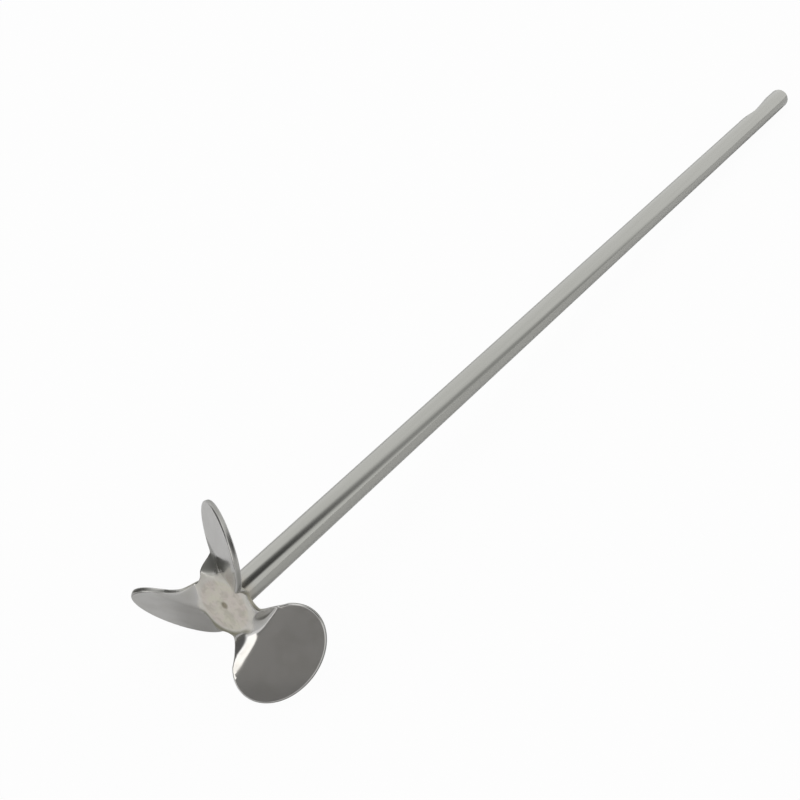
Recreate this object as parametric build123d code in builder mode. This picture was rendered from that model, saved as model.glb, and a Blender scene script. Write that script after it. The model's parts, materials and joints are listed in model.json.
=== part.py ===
from build123d import *
from math import asin, cos, degrees, pi, radians, sin, sqrt, tan
import os

# Shaft of an overhead stirrer: a polished round rod with a three-blade propeller stamped from
# one sheet, welded on its end. It lies at rest on two blades and on the rod's far end, with
# +X along the rod, away from the propeller, and +Z up. Lengths are in mm, angles in degrees.

# rod
rod_diameter = 8.0
rod_length = 398.5
rod_end_radius = 0.8

# worn scallop near the clamped end, on one side of the rod
scallop_length = 27.0
scallop_depth = 0.9
scallop_from_end = 22.0
scallop_angle = -50.0

# propeller, all in one sheet
sheet_thickness = 1.5
blade_count = 3
propeller_diameter = 58.0
lobe_length = 21.0
lobe_width = 29.0
neck_width = 14.8
notch_radius = 5.0
neck_straight = 0.3
twist_length = 4.4
pitch_angle = 35.0
rim_radius = 0.45

# centre punch mark in the ground front face of the hub
mark_diameter = 1.8
mark_depth = 0.4
mark_half_angle = 60.0

# fillet weld between rod and hub
weld_leg_on_hub = 2.6
weld_leg_on_rod = 2.2
weld_crown = 0.25
weld_bevel = 1.6

# rounds of the search for the rest, each about eight times as close as the last
rest_rounds = 20

blade_step = 360 / blade_count
lobe_centre = (propeller_diameter - lobe_length) / 2
neck_root = (neck_width / 2 + notch_radius) / tan(pi / blade_count) + neck_straight
lobe_root = neck_root + twist_length
half_sheet = sheet_thickness / 2
rod_reach = half_sheet + rod_length


def lobe_half_width(radius):
    """Half the width of the round lobe at a distance from the propeller's axis."""
    return lobe_width / 2 * sqrt(1 - ((lobe_centre - radius) / (lobe_length / 2)) ** 2)


def turned(plane, x=0, y=0, z=0):
    """The plane after a turn about its own axes."""
    return Plane(plane.location * Rotation(x, y, z))


def shaft_plane(roll, tilt, origin=(0, 0, 0)):
    """Plane across the shaft at the middle of the sheet: local X runs along the upright blade,
    and the normal runs up the rod."""
    level = Plane(origin, x_dir=(sin(radians(tilt)), 0, cos(radians(tilt))),
                  z_dir=(cos(radians(tilt)), 0, -sin(radians(tilt))))
    return turned(level, z=roll)


def blade_plane(shaft, number):
    """Plane of the flat sheet with local X along one blade."""
    return turned(shaft, z=number * blade_step)


def pitched_plane(blade, pitch):
    """Plane of the sheet after a turn about the blade's own length."""
    return turned(blade, x=-pitch)


def lobe_reach(shaft, number, direction):
    """How far one lobe reaches in a direction, from the shaft plane's origin."""
    lobe = pitched_plane(blade_plane(shaft, number), pitch_angle)
    along, across, through = (direction.dot(d) for d in (lobe.x_dir, lobe.y_dir, lobe.z_dir))
    oval = sqrt((lobe_length / 2 * along) ** 2 + (lobe_width / 2 * across) ** 2)
    oval -= rim_radius * sqrt(along ** 2 + across ** 2)
    return lobe_centre * along + oval + (half_sheet - rim_radius) * abs(through) + rim_radius


def rod_end_reach(shaft, direction):
    """How far the rod's far end reaches in a direction, from the shaft plane's origin."""
    along = direction.dot(shaft.z_dir)
    rim = rod_diameter / 2 - rod_end_radius
    return ((rod_reach - rod_end_radius) * along + rim * sqrt(max(0, 1 - along ** 2))
            + rod_end_radius)


def reach(shaft, direction):
    """How far the whole shaft reaches in a direction, from the shaft plane's origin."""
    lobes = (lobe_reach(shaft, number, direction) for number in range(blade_count))
    return max(rod_end_reach(shaft, direction), *lobes)


# The rest: the two lower lobes touch the floor together, and so does the rod's far end.
down = Vector(0, 0, -1)
roll, tilt = 0.0, 0.0
for _ in range(rest_rounds):
    shaft = shaft_plane(roll, tilt)
    near_lobe, far_lobe = lobe_reach(shaft, 1, down), lobe_reach(shaft, 2, down)
    roll -= degrees((near_lobe - far_lobe) / propeller_diameter)
    rim_height = rod_diameter / 2 * cos(radians(tilt))
    tilt = degrees(asin(((near_lobe + far_lobe) / 2 - rim_height) / rod_reach))

# The origin is on the floor, in the middle of the shaft's footprint.
level = shaft_plane(roll, tilt)
hub_x = (reach(level, Vector(-1, 0, 0)) - reach(level, Vector(1, 0, 0))) / 2
hub_y = (reach(level, Vector(0, -1, 0)) - reach(level, Vector(0, 1, 0))) / 2
shaft = shaft_plane(roll, tilt, (hub_x, hub_y, reach(level, down)))
hub_back = shaft.offset(half_sheet)
hub_front = shaft.offset(-half_sheet)

with BuildPart() as rod:
    with BuildSketch(hub_back) as bar:
        Circle(rod_diameter / 2)
    extrude(amount=rod_length)
    up_the_rod = Axis(shaft.origin, shaft.z_dir)
    far_rim = rod.edges().sort_by(up_the_rod)[-1]
    fillet(far_rim, radius=rod_end_radius)
    # the end on the hub is bevelled for the weld, which fills the bevel
    hub_end = rod.faces().sort_by(up_the_rod)[0]
    chamfer(hub_end.edges(), length=weld_bevel, length2=weld_leg_on_rod, reference=hub_end)
    # The scallop is the mark of a large round wheel that just bites into the rod's side.
    wheel_radius = (scallop_length ** 2 / 4 + scallop_depth ** 2) / (2 * scallop_depth)
    wheel_height = rod_diameter / 2 - scallop_depth + wheel_radius
    bite = turned(shaft.offset(rod_reach - scallop_from_end), z=scallop_angle)
    with BuildSketch(turned(bite, x=90)) as wheel:
        with Locations((wheel_height, 0)):
            Circle(wheel_radius)
    extrude(amount=rod_diameter, both=True, mode=Mode.SUBTRACT)

with BuildPart() as propeller:
    # flat hub: one stub for each neck, with a round notch between neighbours
    with BuildSketch(hub_front) as spider:
        with PolarLocations(0, blade_count):
            Rectangle(neck_root, neck_width, align=(Align.MIN, Align.CENTER))
        corners = spider.vertices().sort_by(lambda corner: Vector(*corner).length)
        fillet(corners[:blade_count], radius=notch_radius)
    extrude(amount=sheet_thickness)
    # each neck turns the sheet from the hub's plane to the blade's pitch while it widens
    for number in range(blade_count):
        blade = blade_plane(shaft, number)
        for share in (0, 0.25, 0.5, 0.75, 1):
            neck = pitched_plane(blade, pitch_angle * share ** 2 * (3 - 2 * share))
            station = neck.from_local_coords((neck_root + twist_length * share, 0, 0))
            half_width = neck_width / 2 + share ** 2 * (lobe_half_width(lobe_root) - neck_width / 2)
            with BuildSketch(Plane(station, x_dir=neck.y_dir, z_dir=neck.x_dir)) as section:
                Rectangle(2 * half_width, sheet_thickness)
        loft()
        # round lobe, flat again, its edges rolled over by polishing
        lobe_back = pitched_plane(blade, pitch_angle).offset(-half_sheet)
        with BuildPart() as lobe:
            with BuildSketch(lobe_back) as oval:
                with Locations((lobe_centre, 0)):
                    Ellipse(lobe_length / 2, lobe_width / 2)
                with Locations((lobe_root, 0)):
                    Rectangle(lobe_length, lobe_width, align=(Align.MIN, Align.CENTER),
                              mode=Mode.INTERSECT)
            extrude(amount=sheet_thickness)
            fillet(lobe.edges().filter_by(GeomType.ELLIPSE), radius=rim_radius)
    with BuildSketch(hub_front) as mark:
        Circle(mark_diameter / 2)
    extrude(amount=mark_depth, taper=mark_half_angle, mode=Mode.SUBTRACT)

with BuildPart() as weld_bead:
    # local X of the profile runs out from the rod, local Y runs up the rod
    with BuildSketch(turned(hub_back, x=90)) as bead:
        with BuildLine() as outline:
            toe_on_hub = (rod_diameter / 2 + weld_leg_on_hub, 0)
            toe_on_rod = (rod_diameter / 2, weld_leg_on_rod)
            root = (rod_diameter / 2 - weld_bevel, 0)
            Polyline(toe_on_rod, root, toe_on_hub)
            SagittaArc(toe_on_hub, toe_on_rod, weld_crown)
        make_face()
    revolve(axis=up_the_rod)

os.makedirs("parts", exist_ok=True)
rod.part.label = "rod"
propeller.part.label = "propeller"
weld_bead.part.label = "weld_bead"
export_step(rod.part, "parts/rod.step")
export_step(propeller.part, "parts/propeller.step")
export_step(weld_bead.part, "parts/weld_bead.step")
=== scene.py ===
import bpy
import bmesh
import json
from math import acos, atan2, cos, pi, radians, sin, sqrt, tan
from mathutils import Matrix, Vector


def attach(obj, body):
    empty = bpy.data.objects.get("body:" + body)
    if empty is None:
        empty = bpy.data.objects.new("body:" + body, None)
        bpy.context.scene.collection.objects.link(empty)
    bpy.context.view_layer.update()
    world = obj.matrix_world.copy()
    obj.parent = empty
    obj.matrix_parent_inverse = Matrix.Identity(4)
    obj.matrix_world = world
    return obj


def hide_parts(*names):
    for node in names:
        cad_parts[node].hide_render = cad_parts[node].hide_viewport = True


# A stirrer shaft: a polished round rod with a three-blade propeller stamped from one sheet and
# welded on its end. The scene is in metres, and the sizes of the pieces are in millimetres and degrees.

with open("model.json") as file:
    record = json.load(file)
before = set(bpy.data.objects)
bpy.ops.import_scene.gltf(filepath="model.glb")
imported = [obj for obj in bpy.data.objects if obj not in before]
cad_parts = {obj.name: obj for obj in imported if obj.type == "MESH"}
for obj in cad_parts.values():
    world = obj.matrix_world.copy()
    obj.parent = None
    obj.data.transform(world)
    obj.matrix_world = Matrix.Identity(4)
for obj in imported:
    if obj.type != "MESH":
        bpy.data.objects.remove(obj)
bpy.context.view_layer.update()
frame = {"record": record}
mm = 0.001
close = 0.01  # millimetres, for telling which points lie on a plane
print("frame loaded")


class shaderValue:
    def __init__(self, nodes, socket):
        self.nodes, self.socket = nodes, socket

    def maths(self, operation, *others):
        return self.nodes.add("ShaderNodeMath", {"operation": operation},
                              dict(enumerate((self,) + others)))

    def __add__(self, other):
        return self.maths("ADD", other)

    __radd__ = __add__

    def __mul__(self, other):
        return self.maths("MULTIPLY", other)

    __rmul__ = __mul__

    def __sub__(self, other):
        return self.maths("SUBTRACT", other)

    def __rsub__(self, other):
        return -1 * self + other

    def __pow__(self, other):
        return self.maths("POWER", other)

    def __abs__(self):
        return self.maths("ABSOLUTE")

    def ramp(self, low, high):
        return self.nodes.add("ShaderNodeMapRange", {"interpolation_type": "SMOOTHSTEP"},
                              {"Value": self, "From Min": low, "From Max": high})

    def fall(self, low, high):
        return 1 - self.ramp(low, high)

    def band(self, start, end):
        return self.ramp(*start) * self.fall(*end)


class nodeMaker:
    def __init__(self, tree):
        self.tree = tree
        tree.nodes.clear()

    def add(self, nodeType, settings=None, sockets=None, output=0):
        node = self.tree.nodes.new(nodeType)
        for name, value in (settings or {}).items():
            setattr(node, name, value)
        for name, value in (sockets or {}).items():
            if isinstance(value, shaderValue):
                self.tree.links.new(value.socket, node.inputs[name])
            else:
                node.inputs[name].default_value = value
        self.node = node
        return shaderValue(self, node.outputs[output]) if node.outputs else None

    def pick(self, output):
        return shaderValue(self, self.node.outputs[output])

    def blend(self, factor, first, second):
        return self.add("ShaderNodeMix", {"data_type": "RGBA", "clamp_factor": True},
                        {0: factor, 6: first, 7: second}, output=2)

    def noise(self, where, scale, detail, rough=0.5, distortion=0.0):
        return self.add("ShaderNodeTexNoise", {}, {"Vector": where, "Scale": scale, "Detail": detail,
                                                   "Roughness": rough, "Distortion": distortion})

    def degrees(self, rise, run):
        return self.add("ShaderNodeMath", {"operation": "ARCTAN2"}, {0: rise, 1: run}) * (180 / pi)


def newMaterial(name):
    material = bpy.data.materials.new(name)
    material.use_nodes = True
    return material, nodeMaker(material.node_tree)


def splitVector(nodes, vector):
    nodes.add("ShaderNodeSeparateXYZ", {}, {0: vector})
    return [nodes.pick(axis) for axis in "XYZ"]


def joinVector(nodes, x, y, z):
    return nodes.add("ShaderNodeCombineXYZ", {}, {0: x, 1: y, 2: z})


def shaftCoordinates(nodes):
    # millimetres along the shaft's own axes: X up the upright blade, Z up the rod
    objectPlace = nodes.add("ShaderNodeTexCoord", output="Object")
    local = nodes.add("ShaderNodeMapping", {"vector_type": "TEXTURE"},
                      {"Vector": objectPlace, "Location": hubCentre[:],
                       "Rotation": shaftPlace.to_euler()[:]})
    return nodes.add("ShaderNodeVectorMath", {"operation": "SCALE"}, {0: local, "Scale": 1 / mm})


def facing(nodes, direction):
    normal = nodes.add("ShaderNodeNewGeometry", output="Normal")
    return nodes.add("ShaderNodeVectorMath", {"operation": "DOT_PRODUCT"},
                     {0: normal, 1: direction[:]}, output="Value")


def finishMetal(nodes, finish, colour, roughness, height):
    bump = nodes.add("ShaderNodeBump", {}, {"Height": height, "Strength": finish["bumpStrength"],
                                            "Distance": finish["bumpDepth"] * mm})
    surface = nodes.add("ShaderNodeBsdfPrincipled", {},
                        {"Base Color": colour, "Metallic": 1.0, "Roughness": roughness, "Normal": bump})
    nodes.add("ShaderNodeOutputMaterial", {}, {"Surface": surface})


def addPiece(name, bm, material, nodeName, sharpAngle):
    bmesh.ops.recalc_face_normals(bm, faces=bm.faces)
    mesh = bpy.data.meshes.new(name)
    bm.to_mesh(mesh)
    bm.free()
    mesh.transform(Matrix.Scale(mm, 4))
    mesh.transform(shaftPlace)
    mesh.shade_smooth()
    mesh.set_sharp_from_angle(angle=radians(sharpAngle))
    mesh.materials.append(material)
    piece = bpy.data.objects.new(name, mesh)
    bpy.context.scene.collection.objects.link(piece)
    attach(piece, "root")
    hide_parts(nodeName)
    print("made", name, len(mesh.polygons), "faces")
    return piece


def placeMatrix(xAxis, yAxis, zAxis, place):
    matrix = Matrix((xAxis, yAxis, zAxis)).transposed().to_4x4()
    matrix.translation = place
    return matrix


rod = {
    "diameter": 8.0,
    "length": 398.5,
    "endRadius": 0.8,
    "endSteps": 6,
    "sides": 160,
    "scallopLength": 27.0,  # worn dip near the clamped end
    "scallopDepth": 0.9,
    "scallopFromEnd": 22.0,
    "scallopSide": -50.0,
    "scallopSlices": 54,
    "scallopMargin": 0.5,
    "sharpAngle": 30,
    "clean": (0.52, 0.52, 0.487, 1),
    "cloudy": (0.48, 0.48, 0.447, 1),
    "tint": (0.45, 0.38, 0.28, 1),
    "roughness": 0.10,
    "scuffed": 0.10,  # roughness that the chuck added
    "heated": (2.0, 9.0),  # millimetres up the rod
    "clamped": (350.0, 375.0),
    "cloudAlong": 0.03,  # long faint clouds down the rod
    "grindAlong": 6.0,  # and fine rings round it
    "grindAcross": 0.25,
    "bumpStrength": 0.10,
    "bumpDepth": 0.03,
}


def polishedRod():
    material, nodes = newMaterial("polishedRod")
    x, y, z = splitVector(nodes, shaftCoordinates(nodes))
    lengthwise = joinVector(nodes, x, y, z * rod["cloudAlong"])
    around = joinVector(nodes, x * rod["grindAcross"], y * rod["grindAcross"], z * rod["grindAlong"])
    clouds = nodes.noise(lengthwise, 0.9, 4)
    grinding = nodes.noise(around, 1.0, 2)
    heat = z.fall(*rod["heated"])
    clamped = z.ramp(*rod["clamped"]) * grinding.ramp(0.52, 0.68)
    colour = nodes.blend(clouds.ramp(0.35, 0.75) * 0.7, rod["clean"], rod["cloudy"])
    colour = nodes.blend(heat * 0.55, colour, rod["tint"])
    roughness = rod["roughness"] + clouds * 0.06 + clamped * rod["scuffed"] + heat * 0.08
    finishMetal(nodes, rod, colour, roughness, grinding * 0.5 + clouds * 0.1)
    return material


def makeRod():
    radius = rod["diameter"] / 2
    farEnd = halfSheet + rod["length"]
    bm = bmesh.new()
    bmesh.ops.create_cone(bm, cap_ends=True, segments=rod["sides"], radius1=radius, radius2=radius,
                          depth=rod["length"])
    bmesh.ops.translate(bm, verts=bm.verts, vec=(0, 0, halfSheet + rod["length"] / 2))
    farRim = [e for e in bm.edges if all(v.co.z > farEnd - close for v in e.verts)]
    bmesh.ops.bevel(bm, geom=farRim, offset=rod["endRadius"], affect="EDGES", segments=rod["endSteps"],
                    profile=0.5, material=-1)
    # slices along the scallop, then the sides that stand out of the dip are pressed in
    middle = farEnd - rod["scallopFromEnd"]
    halfLength = rod["scallopLength"] / 2 + rod["scallopMargin"]
    for cut in range(rod["scallopSlices"] + 1):
        height = middle - halfLength + 2 * halfLength * cut / rod["scallopSlices"]
        bmesh.ops.bisect_plane(bm, geom=bm.verts[:] + bm.edges[:] + bm.faces[:],
                               plane_co=(0, 0, height), plane_no=(0, 0, 1))
    depth = rod["scallopDepth"]
    wheel = (rod["scallopLength"] ** 2 / 4 + depth ** 2) / (2 * depth)  # radius of the wheel that bit in
    side = Vector((cos(radians(rod["scallopSide"])), sin(radians(rod["scallopSide"])), 0))
    for v in bm.verts:
        away = v.co.z - middle
        if abs(away) < halfLength:
            limit = radius - depth + wheel - sqrt(wheel ** 2 - away ** 2)
            v.co -= side * max(0, v.co.dot(side) - limit)
    addPiece("polished_rod", bm, polishedRod(), "rod", rod["sharpAngle"])


propeller = {
    "sheet": 1.5,
    "diameter": 58.0,
    "lobeLength": 21.0,
    "lobeWidth": 29.0,
    "neckWidth": 14.8,
    "notchRadius": 5.0,
    "neckStraight": 0.3,
    "twistLength": 4.4,
    "pitch": 35.0,
    "blades": 3,
    "notchSteps": 8,
    "neckSteps": 8,
    "lobeSteps": 44,
    "rimRadius": 0.45,
    "rimSteps": 4,
    "bendFrom": -1.8,  # where the necks are cut for the bend, counted from their roots
    "bendTo": 7.2,
    "bendCuts": 26,
    "neckCuts": 12,  # lengthwise cuts to each side, 1 mm apart
    "bendLead": 0.18,  # the bend runs askew: long on one side, short and sharp on the other
    "bendTrail": 0.36,
    "trailReach": 9.3,  # how far from the middle of the neck the bend still gets longer
    "easeReach": 8.0,
    "bendShort": 0.14,
    "shortReach": 8.0,
    "markRadius": 0.9,
    "markDepth": 0.35,
    "markSpokes": 12,
    "lean": 1.153,  # how far the upright blade leans while the shaft rests on the other two
    "sharpAngle": 50,
    "polished": (0.66, 0.652, 0.636, 1),
    "cloudy": (0.60, 0.59, 0.57, 1),
    "ground": (0.89, 0.86, 0.80, 1),
    "pink": (0.85, 0.775, 0.725, 1),
    "straw": (0.87, 0.845, 0.72, 1),
    "bright": (0.90, 0.89, 0.85, 1),
    "olive": (0.24, 0.23, 0.15, 1),
    "heated": (0.46, 0.44, 0.35, 1),
    # dark colour of the sheet's cut edges: partly their duller finish, partly painted shade for the dark
    # reflections along them
    "rim": (0.30, 0.30, 0.28, 1),
    "mark": (0.30, 0.25, 0.17, 1),
    "groundFacing": (0.86, 0.97),  # how squarely the ground face points forward
    "groundEdge": (8.8, 10.5),  # distances from the axis
    # where the painted highlight ring lies
    "highlightRing": (6.8, 8.2),
    # the olive ring on the ground face's lower side: heat tint with painted shade
    "scorchShadeRing": (7.5, 8.7),
    # the heat tint and painted shade on the hub's edges, darkest on the lower side
    "burntShadedEdge": (9.5, 12.5),
    "markEdge": (0.6, 1.4),
    "upperReach": 1.4,  # how much further the ground face runs up the upright blade
    "upperSide": (4.0, 9.0),  # places along the shaft's own X
    "scorchShadeSide": (-6.0, -4.0),
    "burntShadedSide": (-2.0, 2.0),
    # where the painted shade in the upright blade's fold lies
    "foldShadeStart": (7.4, 8.2),
    "foldShadeEnd": (12.5, 14.5),
    "foldShadeSide": (-4.0, -1.5),  # along the shaft's own Y
    "burntShadedFacing": (0.2, 0.9),
    "bumpStrength": 0.35,
    "bumpDepth": 0.08,
}


def groundFace(nodes, place, x, fromAxis, ground, fine):
    # hub face, ground after welding, with heat tints and a punch mark; a lighter ring near its edge is a
    # painted highlight, and the olive ring on its lower side is heat tint darkened by painted shade
    patches = nodes.noise(place, 0.20, 3, 0.5, 0.8)
    mottle = nodes.noise(place, 0.38, 2, 0.5, 0.8)
    # heat tint and painted shade: olive only along the lower edge of the ground face
    scorchAndShade = fromAxis.ramp(*propeller["scorchShadeRing"]) * x.fall(*propeller["scorchShadeSide"])
    mark = ground * fromAxis.fall(*propeller["markEdge"])
    colour = nodes.blend(patches.ramp(0.30, 0.70), propeller["pink"], propeller["straw"])
    colour = nodes.blend(fine.ramp(0.3, 0.7) * 0.5, colour, propeller["ground"])
    colour = nodes.blend(mottle.ramp(0.40, 0.68) * 0.35, colour, propeller["heated"])
    # painted highlight: a lighter ring along the rounded edge of the ground face
    colour = nodes.blend(fromAxis.ramp(*propeller["highlightRing"]) * 0.6, colour, propeller["bright"])
    colour = nodes.blend(scorchAndShade * 0.8, colour, propeller["olive"])
    return nodes.blend(mark * 0.7, colour, propeller["mark"])


def stampedSheet():
    material, nodes = newMaterial("stampedSheet")
    place = shaftCoordinates(nodes)
    x, y, z = splitVector(nodes, place)
    fromAxis = (x * x + y * y) ** 0.5
    front = facing(nodes, -rodAxis)
    rim = nodes.add("ShaderNodeAttribute", {"attribute_name": "rim"}, output="Fac")
    clouds = nodes.noise(place, 0.16, 4, 0.55, 0.4)
    fine = nodes.noise(place, 2.2, 5, 0.6)
    scratches = nodes.noise(joinVector(nodes, x * 3.0, y * 0.25, z), 1.4, 3)
    dished = nodes.noise(place, 0.045, 1, 0.4)
    groundRadius = fromAxis - x.ramp(*propeller["upperSide"]) * propeller["upperReach"]
    ground = front.ramp(*propeller["groundFacing"]) * groundRadius.fall(*propeller["groundEdge"])
    # heat tint on the hub's edge between the blades, and behind it round the weld; its darker olive on
    # the lower side is painted shade
    burntAndShaded = front.fall(*propeller["burntShadedFacing"]) * fromAxis.fall(*propeller["burntShadedEdge"]) * 0.8
    burntShadedColour = nodes.blend(x.ramp(*propeller["burntShadedSide"]), propeller["olive"], propeller["heated"])
    # painted shade in the fold of the upright blade's neck: the dark edge colour laid on the crease
    # stands in for its shade and dark reflections
    foldShade = x.band(propeller["foldShadeStart"], propeller["foldShadeEnd"]) * y.fall(*propeller["foldShadeSide"]) * 0.85
    colour = nodes.blend(clouds.ramp(0.4, 0.7), propeller["polished"], propeller["cloudy"])
    # the cut edges get the dark rim colour: duller metal, and painted shade
    colour = nodes.blend(rim * 0.8, colour, propeller["rim"])
    colour = nodes.blend(burntAndShaded, colour, burntShadedColour)
    colour = nodes.blend(foldShade, colour, propeller["rim"])
    colour = nodes.blend(ground, colour, groundFace(nodes, place, x, fromAxis, ground, fine))
    roughness = 0.09 + clouds * 0.05 + rim * 0.22 + burntAndShaded * 0.2 + foldShade * 0.25
    roughness = roughness + ground * (0.26 + fine * 0.14)
    height = scratches * (0.02 + ground * 0.3) + fine * ground * 0.4 + dished * 12
    finishMetal(nodes, propeller, colour, roughness, height)
    return material


def bladeOutline():
    # one side of a blade, from the bottom of the notch to the tip
    halfNeck = propeller["neckWidth"] / 2
    notchRadius = propeller["notchRadius"]
    notchY = halfNeck + notchRadius
    notchX = notchY / tan(pi / propeller["blades"])
    notchEnd = pi / 2 - pi / propeller["blades"]
    neckRoot = notchX + propeller["neckStraight"]
    lobeCentre = (propeller["diameter"] - propeller["lobeLength"]) / 2
    halfLength, halfWidth = propeller["lobeLength"] / 2, propeller["lobeWidth"] / 2
    lobeStart = acos((neckRoot + propeller["twistLength"] - lobeCentre) / halfLength)
    widening = halfWidth * sin(lobeStart) - halfNeck
    side = []
    for i in range(propeller["notchSteps"] + 1):
        angle = notchEnd * (1 - i / propeller["notchSteps"])
        side.append((notchX - notchRadius * sin(angle), notchY - notchRadius * cos(angle)))
    for i in range(propeller["neckSteps"] + 1):
        share = i / propeller["neckSteps"]
        side.append((neckRoot + propeller["twistLength"] * share, halfNeck + widening * share ** 2))
    for i in range(1, propeller["lobeSteps"] + 1):
        angle = lobeStart * (1 - i / propeller["lobeSteps"])
        side.append((lobeCentre + halfLength * cos(angle), halfWidth * sin(angle)))
    return neckRoot, side


def twistAt(x, y, neckRoot):
    # how far the sheet is turned at a point of the flat blade
    ahead, behind = max(0, y), max(0, -y)
    start = neckRoot - propeller["bendLead"] * ahead
    end = neckRoot + propeller["twistLength"]
    end += propeller["bendTrail"] * min(propeller["trailReach"], ahead)
    end -= propeller["bendShort"] * min(propeller["shortReach"], behind)
    share = min(1, max(0, (x - start) / (end - start)))
    share = 1 - (1 - share) ** (1 + min(1, ahead / propeller["easeReach"]))
    return radians(propeller["pitch"]) * share ** 2 * (3 - 2 * share)


def geometryOf(faces):
    edges = {e for f in faces for e in f.edges}
    corners = {v for f in faces for v in f.verts}
    return list({*faces, *edges, *corners})


def cutNecks(bm, turns, neckRoot):
    # cuts across and along each neck, so that it can turn
    bendStart, bendEnd = neckRoot + propeller["bendFrom"], neckRoot + propeller["bendTo"]
    for turn in turns:
        along, across = turn @ Vector((1, 0, 0)), turn @ Vector((0, 1, 0))
        for cut in range(propeller["bendCuts"] + 1):
            reach = bendStart + (bendEnd - bendStart) * cut / propeller["bendCuts"]
            bmesh.ops.bisect_plane(bm, geom=bm.verts[:] + bm.edges[:] + bm.faces[:],
                                   plane_co=along * reach, plane_no=along)
        for offset in range(-propeller["neckCuts"], propeller["neckCuts"] + 1):
            neck = [face for face in bm.faces
                    if all(bendStart - close < v.co.dot(along) < bendEnd + close for v in face.verts)]
            bmesh.ops.bisect_plane(bm, geom=geometryOf(neck), plane_co=across * offset,
                                   plane_no=across)


def punchMark(bm, neckRoot):
    # in the middle of the hub's front, whose faces point to -Z: spokes, then a ring, then a cone
    for cut in range(propeller["markSpokes"]):
        hub = [face for face in bm.faces if face.normal.z < -0.99
               and all(v.co.length < neckRoot * 1.5 for v in face.verts)
               and face.calc_center_median().length < neckRoot]
        angle = pi * (cut + 0.5) / propeller["markSpokes"]
        bmesh.ops.bisect_plane(bm, geom=geometryOf(hub), plane_co=(0, 0, 0),
                               plane_no=(cos(angle), sin(angle), 0))
    middle = min((v for v in bm.verts if v.co.z < 0), key=lambda v: v.co.xy.length)
    ring = bmesh.ops.bevel(bm, geom=[middle], offset=propeller["markRadius"], offset_type="OFFSET",
                           affect="VERTICES", segments=1, profile=0.5, material=-1)
    disc = min(ring["faces"], key=lambda face: face.calc_center_median().xy.length)
    pit = bmesh.ops.poke(bm, faces=[disc])["verts"]
    bmesh.ops.translate(bm, verts=pit, vec=(0, 0, propeller["markDepth"]))


def makePropeller():
    neckRoot, side = bladeOutline()
    step = 2 * pi / propeller["blades"]
    turns = [Matrix.Rotation(step * blade, 3, "Z") for blade in range(propeller["blades"])]
    bm = bmesh.new()
    corners = []
    for turn in turns:
        around = [(x, -y) for x, y in side] + side[-2:0:-1]
        corners += [bm.verts.new(turn @ Vector((x, y, halfSheet))) for x, y in around]
    back = bm.faces.new(corners)
    grown = bmesh.ops.extrude_face_region(bm, geom=[back], use_keep_orig=True)["geom"]
    front = [v for v in grown if isinstance(v, bmesh.types.BMVert)]
    bmesh.ops.translate(bm, verts=front, vec=(0, 0, -propeller["sheet"]))
    rims = [e for e in bm.edges if abs(e.verts[0].co.z - e.verts[1].co.z) < close]
    bmesh.ops.bevel(bm, geom=rims, offset=propeller["rimRadius"], offset_type="OFFSET", affect="EDGES",
                    segments=propeller["rimSteps"], profile=0.5, clamp_overlap=False, material=-1)
    bmesh.ops.recalc_face_normals(bm, faces=bm.faces)
    rimLayer = bm.faces.layers.float.new("rim")  # 0 on the flats, 1 on the edge of the sheet
    for face in bm.faces:
        face[rimLayer] = 1 - abs(face.normal.z)
    cutNecks(bm, turns, neckRoot)
    punchMark(bm, neckRoot)
    bmesh.ops.dissolve_degenerate(bm, dist=0.001, edges=bm.edges)
    for v in bm.verts:
        turn = turns[round(atan2(v.co.y, v.co.x) / step) % propeller["blades"]]
        x, y, z = turn.transposed() @ v.co
        twist = twistAt(x, y, neckRoot)
        v.co = turn @ Vector((x, y * cos(twist) + z * sin(twist), z * cos(twist) - y * sin(twist)))
    piece = addPiece("stamped_propeller", bm, stampedSheet(), "propeller", propeller["sharpAngle"])
    normals = piece.modifiers.new("flatFaces", "WEIGHTED_NORMAL")
    normals.keep_sharp = True


weld = {
    "legOnHub": 2.6,
    "legOnRod": 2.2,
    "crown": 0.25,
    "sunk": 0.15,  # how deep its hidden faces lie in the rod and the hub
    "profileSteps": 8,
    "ripples": 34,
    "rippleHeight": 0.07,
    "rippleSwirl": 0.09,
    "rippleOut": 0.65,
    "rippleUp": 0.75,
    "rippleDrift": 0.8,  # how unevenly the ripples follow each other
    "unevenWide": 0.12,
    "unevenFine": 0.08,
    "steps": 204,
    "sharpAngle": 60,
    "bright": (0.56, 0.54, 0.49, 1),
    "straw": (0.50, 0.42, 0.29, 1),
    "brown": (0.26, 0.20, 0.13, 1),
    "brownRing": (5.4, 6.6),  # distances from the axis
    "roughness": 0.18,
    "bumpStrength": 0.35,
    "bumpDepth": 0.1,
}


def heatedWeld():
    material, nodes = newMaterial("heatedWeld")
    place = shaftCoordinates(nodes)
    x, y = splitVector(nodes, place)[:2]
    fromAxis = (x * x + y * y) ** 0.5
    patches = nodes.noise(place, 0.35, 4, 0.6, 0.5)
    grain = nodes.noise(place, 3.0, 3)
    colour = nodes.blend(patches.ramp(0.35, 0.65), weld["bright"], weld["straw"])
    colour = nodes.blend(fromAxis.ramp(*weld["brownRing"]) * 0.7, colour, weld["brown"])
    finishMetal(nodes, weld, colour, weld["roughness"] + grain * 0.16, grain + patches)
    return material


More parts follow.
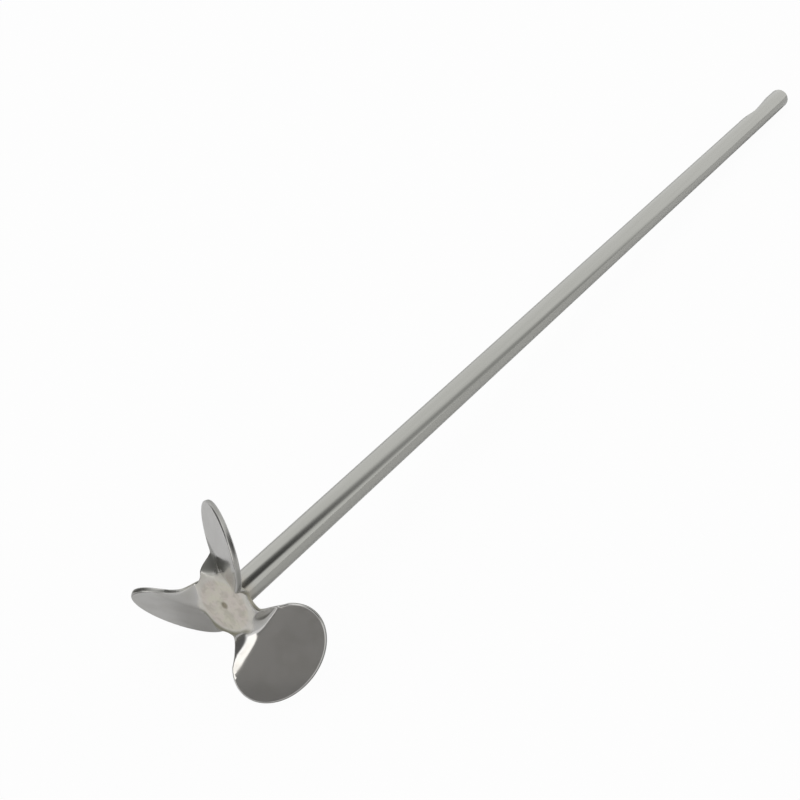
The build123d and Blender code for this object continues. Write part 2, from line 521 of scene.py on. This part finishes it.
def makeWeld():
    radius = rod["diameter"] / 2
    hubToe = Vector((radius + weld["legOnHub"], 0, halfSheet))
    rodToe = Vector((radius, 0, halfSheet + weld["legOnRod"]))
    outward = Vector((weld["legOnRod"], 0, weld["legOnHub"])).normalized()
    points = [Vector((radius - weld["sunk"], 0, halfSheet - weld["sunk"])),
              Vector((hubToe.x, 0, halfSheet - weld["sunk"]))]
    for i in range(weld["profileSteps"] + 1):
        share = i / weld["profileSteps"]
        points.append(hubToe.lerp(rodToe, share) + outward * weld["crown"] * 4 * share * (1 - share))
    points.append(Vector((radius - weld["sunk"], 0, rodToe.z)))
    bm = bmesh.new()
    loop = [bm.verts.new(p) for p in points]
    edges = [bm.edges.new((loop[i], loop[(i + 1) % len(loop)])) for i in range(len(loop))]
    bmesh.ops.spin(bm, geom=loop + edges, cent=(0, 0, 0), axis=(0, 0, 1), angle=2 * pi,
                   steps=weld["steps"], use_merge=True)
    bmesh.ops.remove_doubles(bm, verts=bm.verts, dist=0.0005)
    for v in bm.verts:  # overlapping ripples, each swept back in the middle
        spread = sqrt(v.co.x ** 2 + v.co.y ** 2)
        if spread > radius - weld["sunk"] / 3 and v.co.z > halfSheet - weld["sunk"] / 3:
            share = (spread - radius) / weld["legOnHub"]
            angle = atan2(v.co.y, v.co.x) + weld["rippleSwirl"] * sin(pi * share)
            wave = 0.5 + 0.5 * sin(weld["ripples"] * angle + weld["rippleDrift"] * sin(3 * angle))
            uneven = weld["unevenWide"] * sin(2 * angle + 1.0) + weld["unevenFine"] * sin(5 * angle)
            grow = weld["rippleHeight"] * (wave + uneven) * sin(pi * share)
            out = weld["rippleOut"] / spread
            v.co += Vector((v.co.x * out, v.co.y * out, weld["rippleUp"])) * grow
    addPiece("weld_ring", bm, heatedWeld(), "weld_bead", weld["sharpAngle"])


# where the shaft lies, from the frame's own mount on the rod
halfSheet = propeller["sheet"] / 2
shank = frame["record"]["mounts"][0]
rodAxis = Vector(shank["axis"]).normalized()
shankMiddle = halfSheet + rod["length"] - rod["endRadius"] - shank["dims"]["length_mm"] / 2
hubCentre = Vector(shank["pos_m"]) - rodAxis * shankMiddle * mm
upright = (Vector((0, 0, 1)) - rodAxis * rodAxis.z).normalized()
bladeUp = Matrix.Rotation(radians(propeller["lean"]), 3, rodAxis) @ upright
shaftPlace = placeMatrix(bladeUp, rodAxis.cross(bladeUp), rodAxis, hubCentre)

makeRod()
makePropeller()
makeWeld()

floorFinish = {
    "size": 6.0,  # metres, as all the floor's places are
    "colour": (0.88, 0.88, 0.88, 1),
    "mottled": (0.86, 0.86, 0.86, 1),
    # the colour of the floor's painted shade, which only the polished metal sees
    "dark": (0.16, 0.16, 0.15, 1),
    "shadowShare": 0.04,  # how much of its own shading the camera sees
    "beside": (-0.19, -0.16),  # along X, where the floor beside the propeller ends
    "litEdge": (0.07, 0.10),  # along Y, where that floor's light ends
    "farEdge": (0.05, 0.5),  # along X, where the far floor gets dimmer
    "farShade": 0.15,
    "underBlade": ((-0.206, -0.200), (0.034, 0.046)),  # along X, and along Y
    "underShade": 0.18,
    "patchSplit": (-0.208, -0.201),  # between the two dark patches, along X
    "leftPatch": ((-0.240, -0.232), (0.027, 0.033), (0.038, 0.044)),  # from X, and from and to Y
    "nearPatch": ((-0.04, -0.03), (-0.012, -0.002)),  # from and to Y
    "patchShade": 0.9,
}


def mirroredLight(nodes, place):
    # painted shade on the floor, seen only in the polished metal: it is dark where the blades' folds
    # mirror it
    x, y = splitVector(nodes, place)[:2]
    beside = x.fall(*floorFinish["beside"])
    underX, underY = floorFinish["underBlade"]
    leftStart, leftNear, leftFar = floorFinish["leftPatch"]
    lit = 1 - y.ramp(*floorFinish["litEdge"]) * beside
    lit = lit * (1 - x.ramp(*floorFinish["farEdge"]) * floorFinish["farShade"])
    lit = lit * (1 - y.fall(*underY) * x.ramp(*underX) * beside * floorFinish["underShade"])
    leftPatch = x.band(leftStart, floorFinish["patchSplit"]) * y.band(leftNear, leftFar)
    nearPatch = x.ramp(*floorFinish["patchSplit"]) * beside * y.band(*floorFinish["nearPatch"])
    return lit * (1 - (leftPatch + nearPatch) * floorFinish["patchShade"])


def makeFloor():
    bm = bmesh.new()
    bmesh.ops.create_grid(bm, x_segments=1, y_segments=1, size=floorFinish["size"] / 2)
    mesh = bpy.data.meshes.new("floor")
    bm.to_mesh(mesh)
    bm.free()
    floor = bpy.data.objects.new("floor", mesh)
    bpy.context.scene.collection.objects.link(floor)
    material, nodes = newMaterial("paleFloor")
    place = nodes.add("ShaderNodeTexCoord", output="Object")
    mottle = nodes.noise(place, 3.0, 2)
    tone = nodes.blend(mottle.ramp(0.3, 0.7) * 0.5, floorFinish["colour"], floorFinish["mottled"])
    matte = nodes.add("ShaderNodeBsdfDiffuse", {}, {"Color": tone})
    white = nodes.add("ShaderNodeEmission", {}, {"Color": (1, 1, 1, 1), "Strength": 1.0})
    dark = nodes.add("ShaderNodeEmission", {}, {"Color": floorFinish["dark"], "Strength": 1.0})
    seen = nodes.add("ShaderNodeLightPath", output="Is Camera Ray")
    mirrored = nodes.pick("Is Glossy Ray")
    plain = seen * (1 - floorFinish["shadowShare"])
    pale = nodes.add("ShaderNodeMixShader", {}, {0: plain, 1: matte, 2: white})
    # painted shade: mirrored rays see the dark colour where mirroredLight is low
    unlit = mirrored * (1 - mirroredLight(nodes, place))
    surface = nodes.add("ShaderNodeMixShader", {}, {0: unlit, 1: pale, 2: dark})
    nodes.add("ShaderNodeOutputMaterial", {}, {"Surface": surface})
    mesh.materials.append(material)


makeFloor()
print("floor made")

studio = {
    "dome": 0.86,  # even light from all round
    "behindCamera": 0.085,  # the unlit side of the room
    "warm": (1, 0.98, 0.95, 1),
    "behindX": (-0.85, -0.60),  # these are parts of a direction, not metres
    "behindZ": ((0.18, 0.26), (0.45, 0.70)),
    "lighterUp": (0.25, 0.31),
    "lighterBy": 0.165,
    "leftEnd": 0.14,
    "leftHeading": ((68, 86), (120, 134)),  # degrees from +X towards +Y
    "leftTop": (0.70, 0.86),
    "window": 1.6,
    "windowX": (-0.58, -0.44),
    "windowY": ((-0.02, 0.05), (0.64, 0.78)),
    "windowZ": ((0.14, 0.20), (0.42, 0.50)),
    "gapTurn": 66,  # degrees round the rod, from the camera's side
    "gapSwing": 380,  # how fast it swings down where X passes the next value
    "gapSwingFrom": 0.63,
    "deepGap": ((16.0, 35.0), (-0.35, -0.15), (0.63, 0.72)),  # half its width, its start and its end
    "deepShade": 0.92,
    "wideGap": ((5.0, 42.0), (0.62, 0.72), (0.81, 0.88)),
    "wideShade": 0.55,
    "keyPower": 1.2,
    "keySize": 0.9,
    "keyPlace": (0.1, 0.3, 1.2),
}


def overheadGap(nodes, x, y, z):
    # dark gap between two lights overhead, which draws the line along the rod
    turn = nodes.degrees(z, y * -1)
    past = x - studio["gapSwingFrom"]
    beyond = nodes.add("ShaderNodeMath", {"operation": "MAXIMUM"}, {0: past, 1: 0.0})
    off = abs(turn - studio["gapTurn"] + beyond * studio["gapSwing"])
    deepSides, deepStart, deepEnd = studio["deepGap"]
    wideSides, wideStart, wideEnd = studio["wideGap"]
    deep = off.fall(*deepSides) * x.band(deepStart, deepEnd) * studio["deepShade"]
    wide = off.fall(*wideSides) * x.band(wideStart, wideEnd) * studio["wideShade"]
    return 1 - deep - wide


def lightRoom():
    world = bpy.data.worlds.new("studio")
    bpy.context.scene.world = world
    world.use_nodes = True
    nodes = nodeMaker(world.node_tree)
    x, y, z = splitVector(nodes, nodes.add("ShaderNodeTexCoord", output="Generated"))
    dome = studio["dome"]
    # the unlit room behind the camera, the dark end to the left, and a window beside it
    behind = x.fall(*studio["behindX"]) * z.band(*studio["behindZ"])
    left = nodes.degrees(y, x).band(*studio["leftHeading"]) * z.fall(*studio["leftTop"])
    window = x.fall(*studio["windowX"]) * y.band(*studio["windowY"]) * z.band(*studio["windowZ"])
    room = studio["behindCamera"] + z.ramp(*studio["lighterUp"]) * studio["lighterBy"]
    light = dome - behind * (dome - room)
    light = light - left * (dome - studio["leftEnd"])
    light = light * (1 - window) + window * studio["window"]
    light = light * overheadGap(nodes, x, y, z)
    seen = nodes.add("ShaderNodeLightPath", output="Is Camera Ray")
    tone = nodes.blend(behind, (1, 1, 1, 1), studio["warm"])
    sky = nodes.add("ShaderNodeBackground", {}, {"Color": tone, "Strength": seen + (1 - seen) * light})
    nodes.add("ShaderNodeOutputWorld", {}, {"Surface": sky})


def addKeyLamp():
    lamp = bpy.data.lights.new("softKey", "AREA")
    lamp.energy = studio["keyPower"]
    lamp.size = studio["keySize"]
    key = bpy.data.objects.new("softKey", lamp)
    key.location = studio["keyPlace"]
    key.rotation_euler = (-key.location).to_track_quat("-Z", "Y").to_euler()  # towards the origin
    bpy.context.scene.collection.objects.link(key)


lightRoom()
addKeyLamp()
print("room lit")

view = {
    "place": (-414.85, -204.72, 281.0),  # millimetres
    "heading": 33.83,  # degrees from +X towards +Y
    "down": 34.07,
    "roll": -3.5,
    "focalPixels": 1535.5,
    "framePixels": 800,
    "sensor": 36,
    "nearest": 0.01,  # metres
}


def placeCamera():
    heading, down, roll = (radians(view[k]) for k in ("heading", "down", "roll"))
    forward = Vector((cos(down) * cos(heading), cos(down) * sin(heading), -sin(down)))
    right = forward.cross(Vector((0, 0, 1))).normalized()
    up = right.cross(forward)
    rightTurned = right * cos(roll) + up * sin(roll)
    upTurned = up * cos(roll) - right * sin(roll)
    lens = bpy.data.cameras.new("camera")
    lens.sensor_width = view["sensor"]
    lens.lens = view["focalPixels"] / view["framePixels"] * view["sensor"]
    lens.clip_start = view["nearest"]
    camera = bpy.data.objects.new("camera", lens)
    camera.matrix_world = placeMatrix(rightTurned, upTurned, -forward, Vector(view["place"]) * mm)
    bpy.context.scene.collection.objects.link(camera)
    bpy.context.scene.camera = camera


placeCamera()
bpy.context.scene.view_settings.view_transform = "Standard"
print("scene ready")
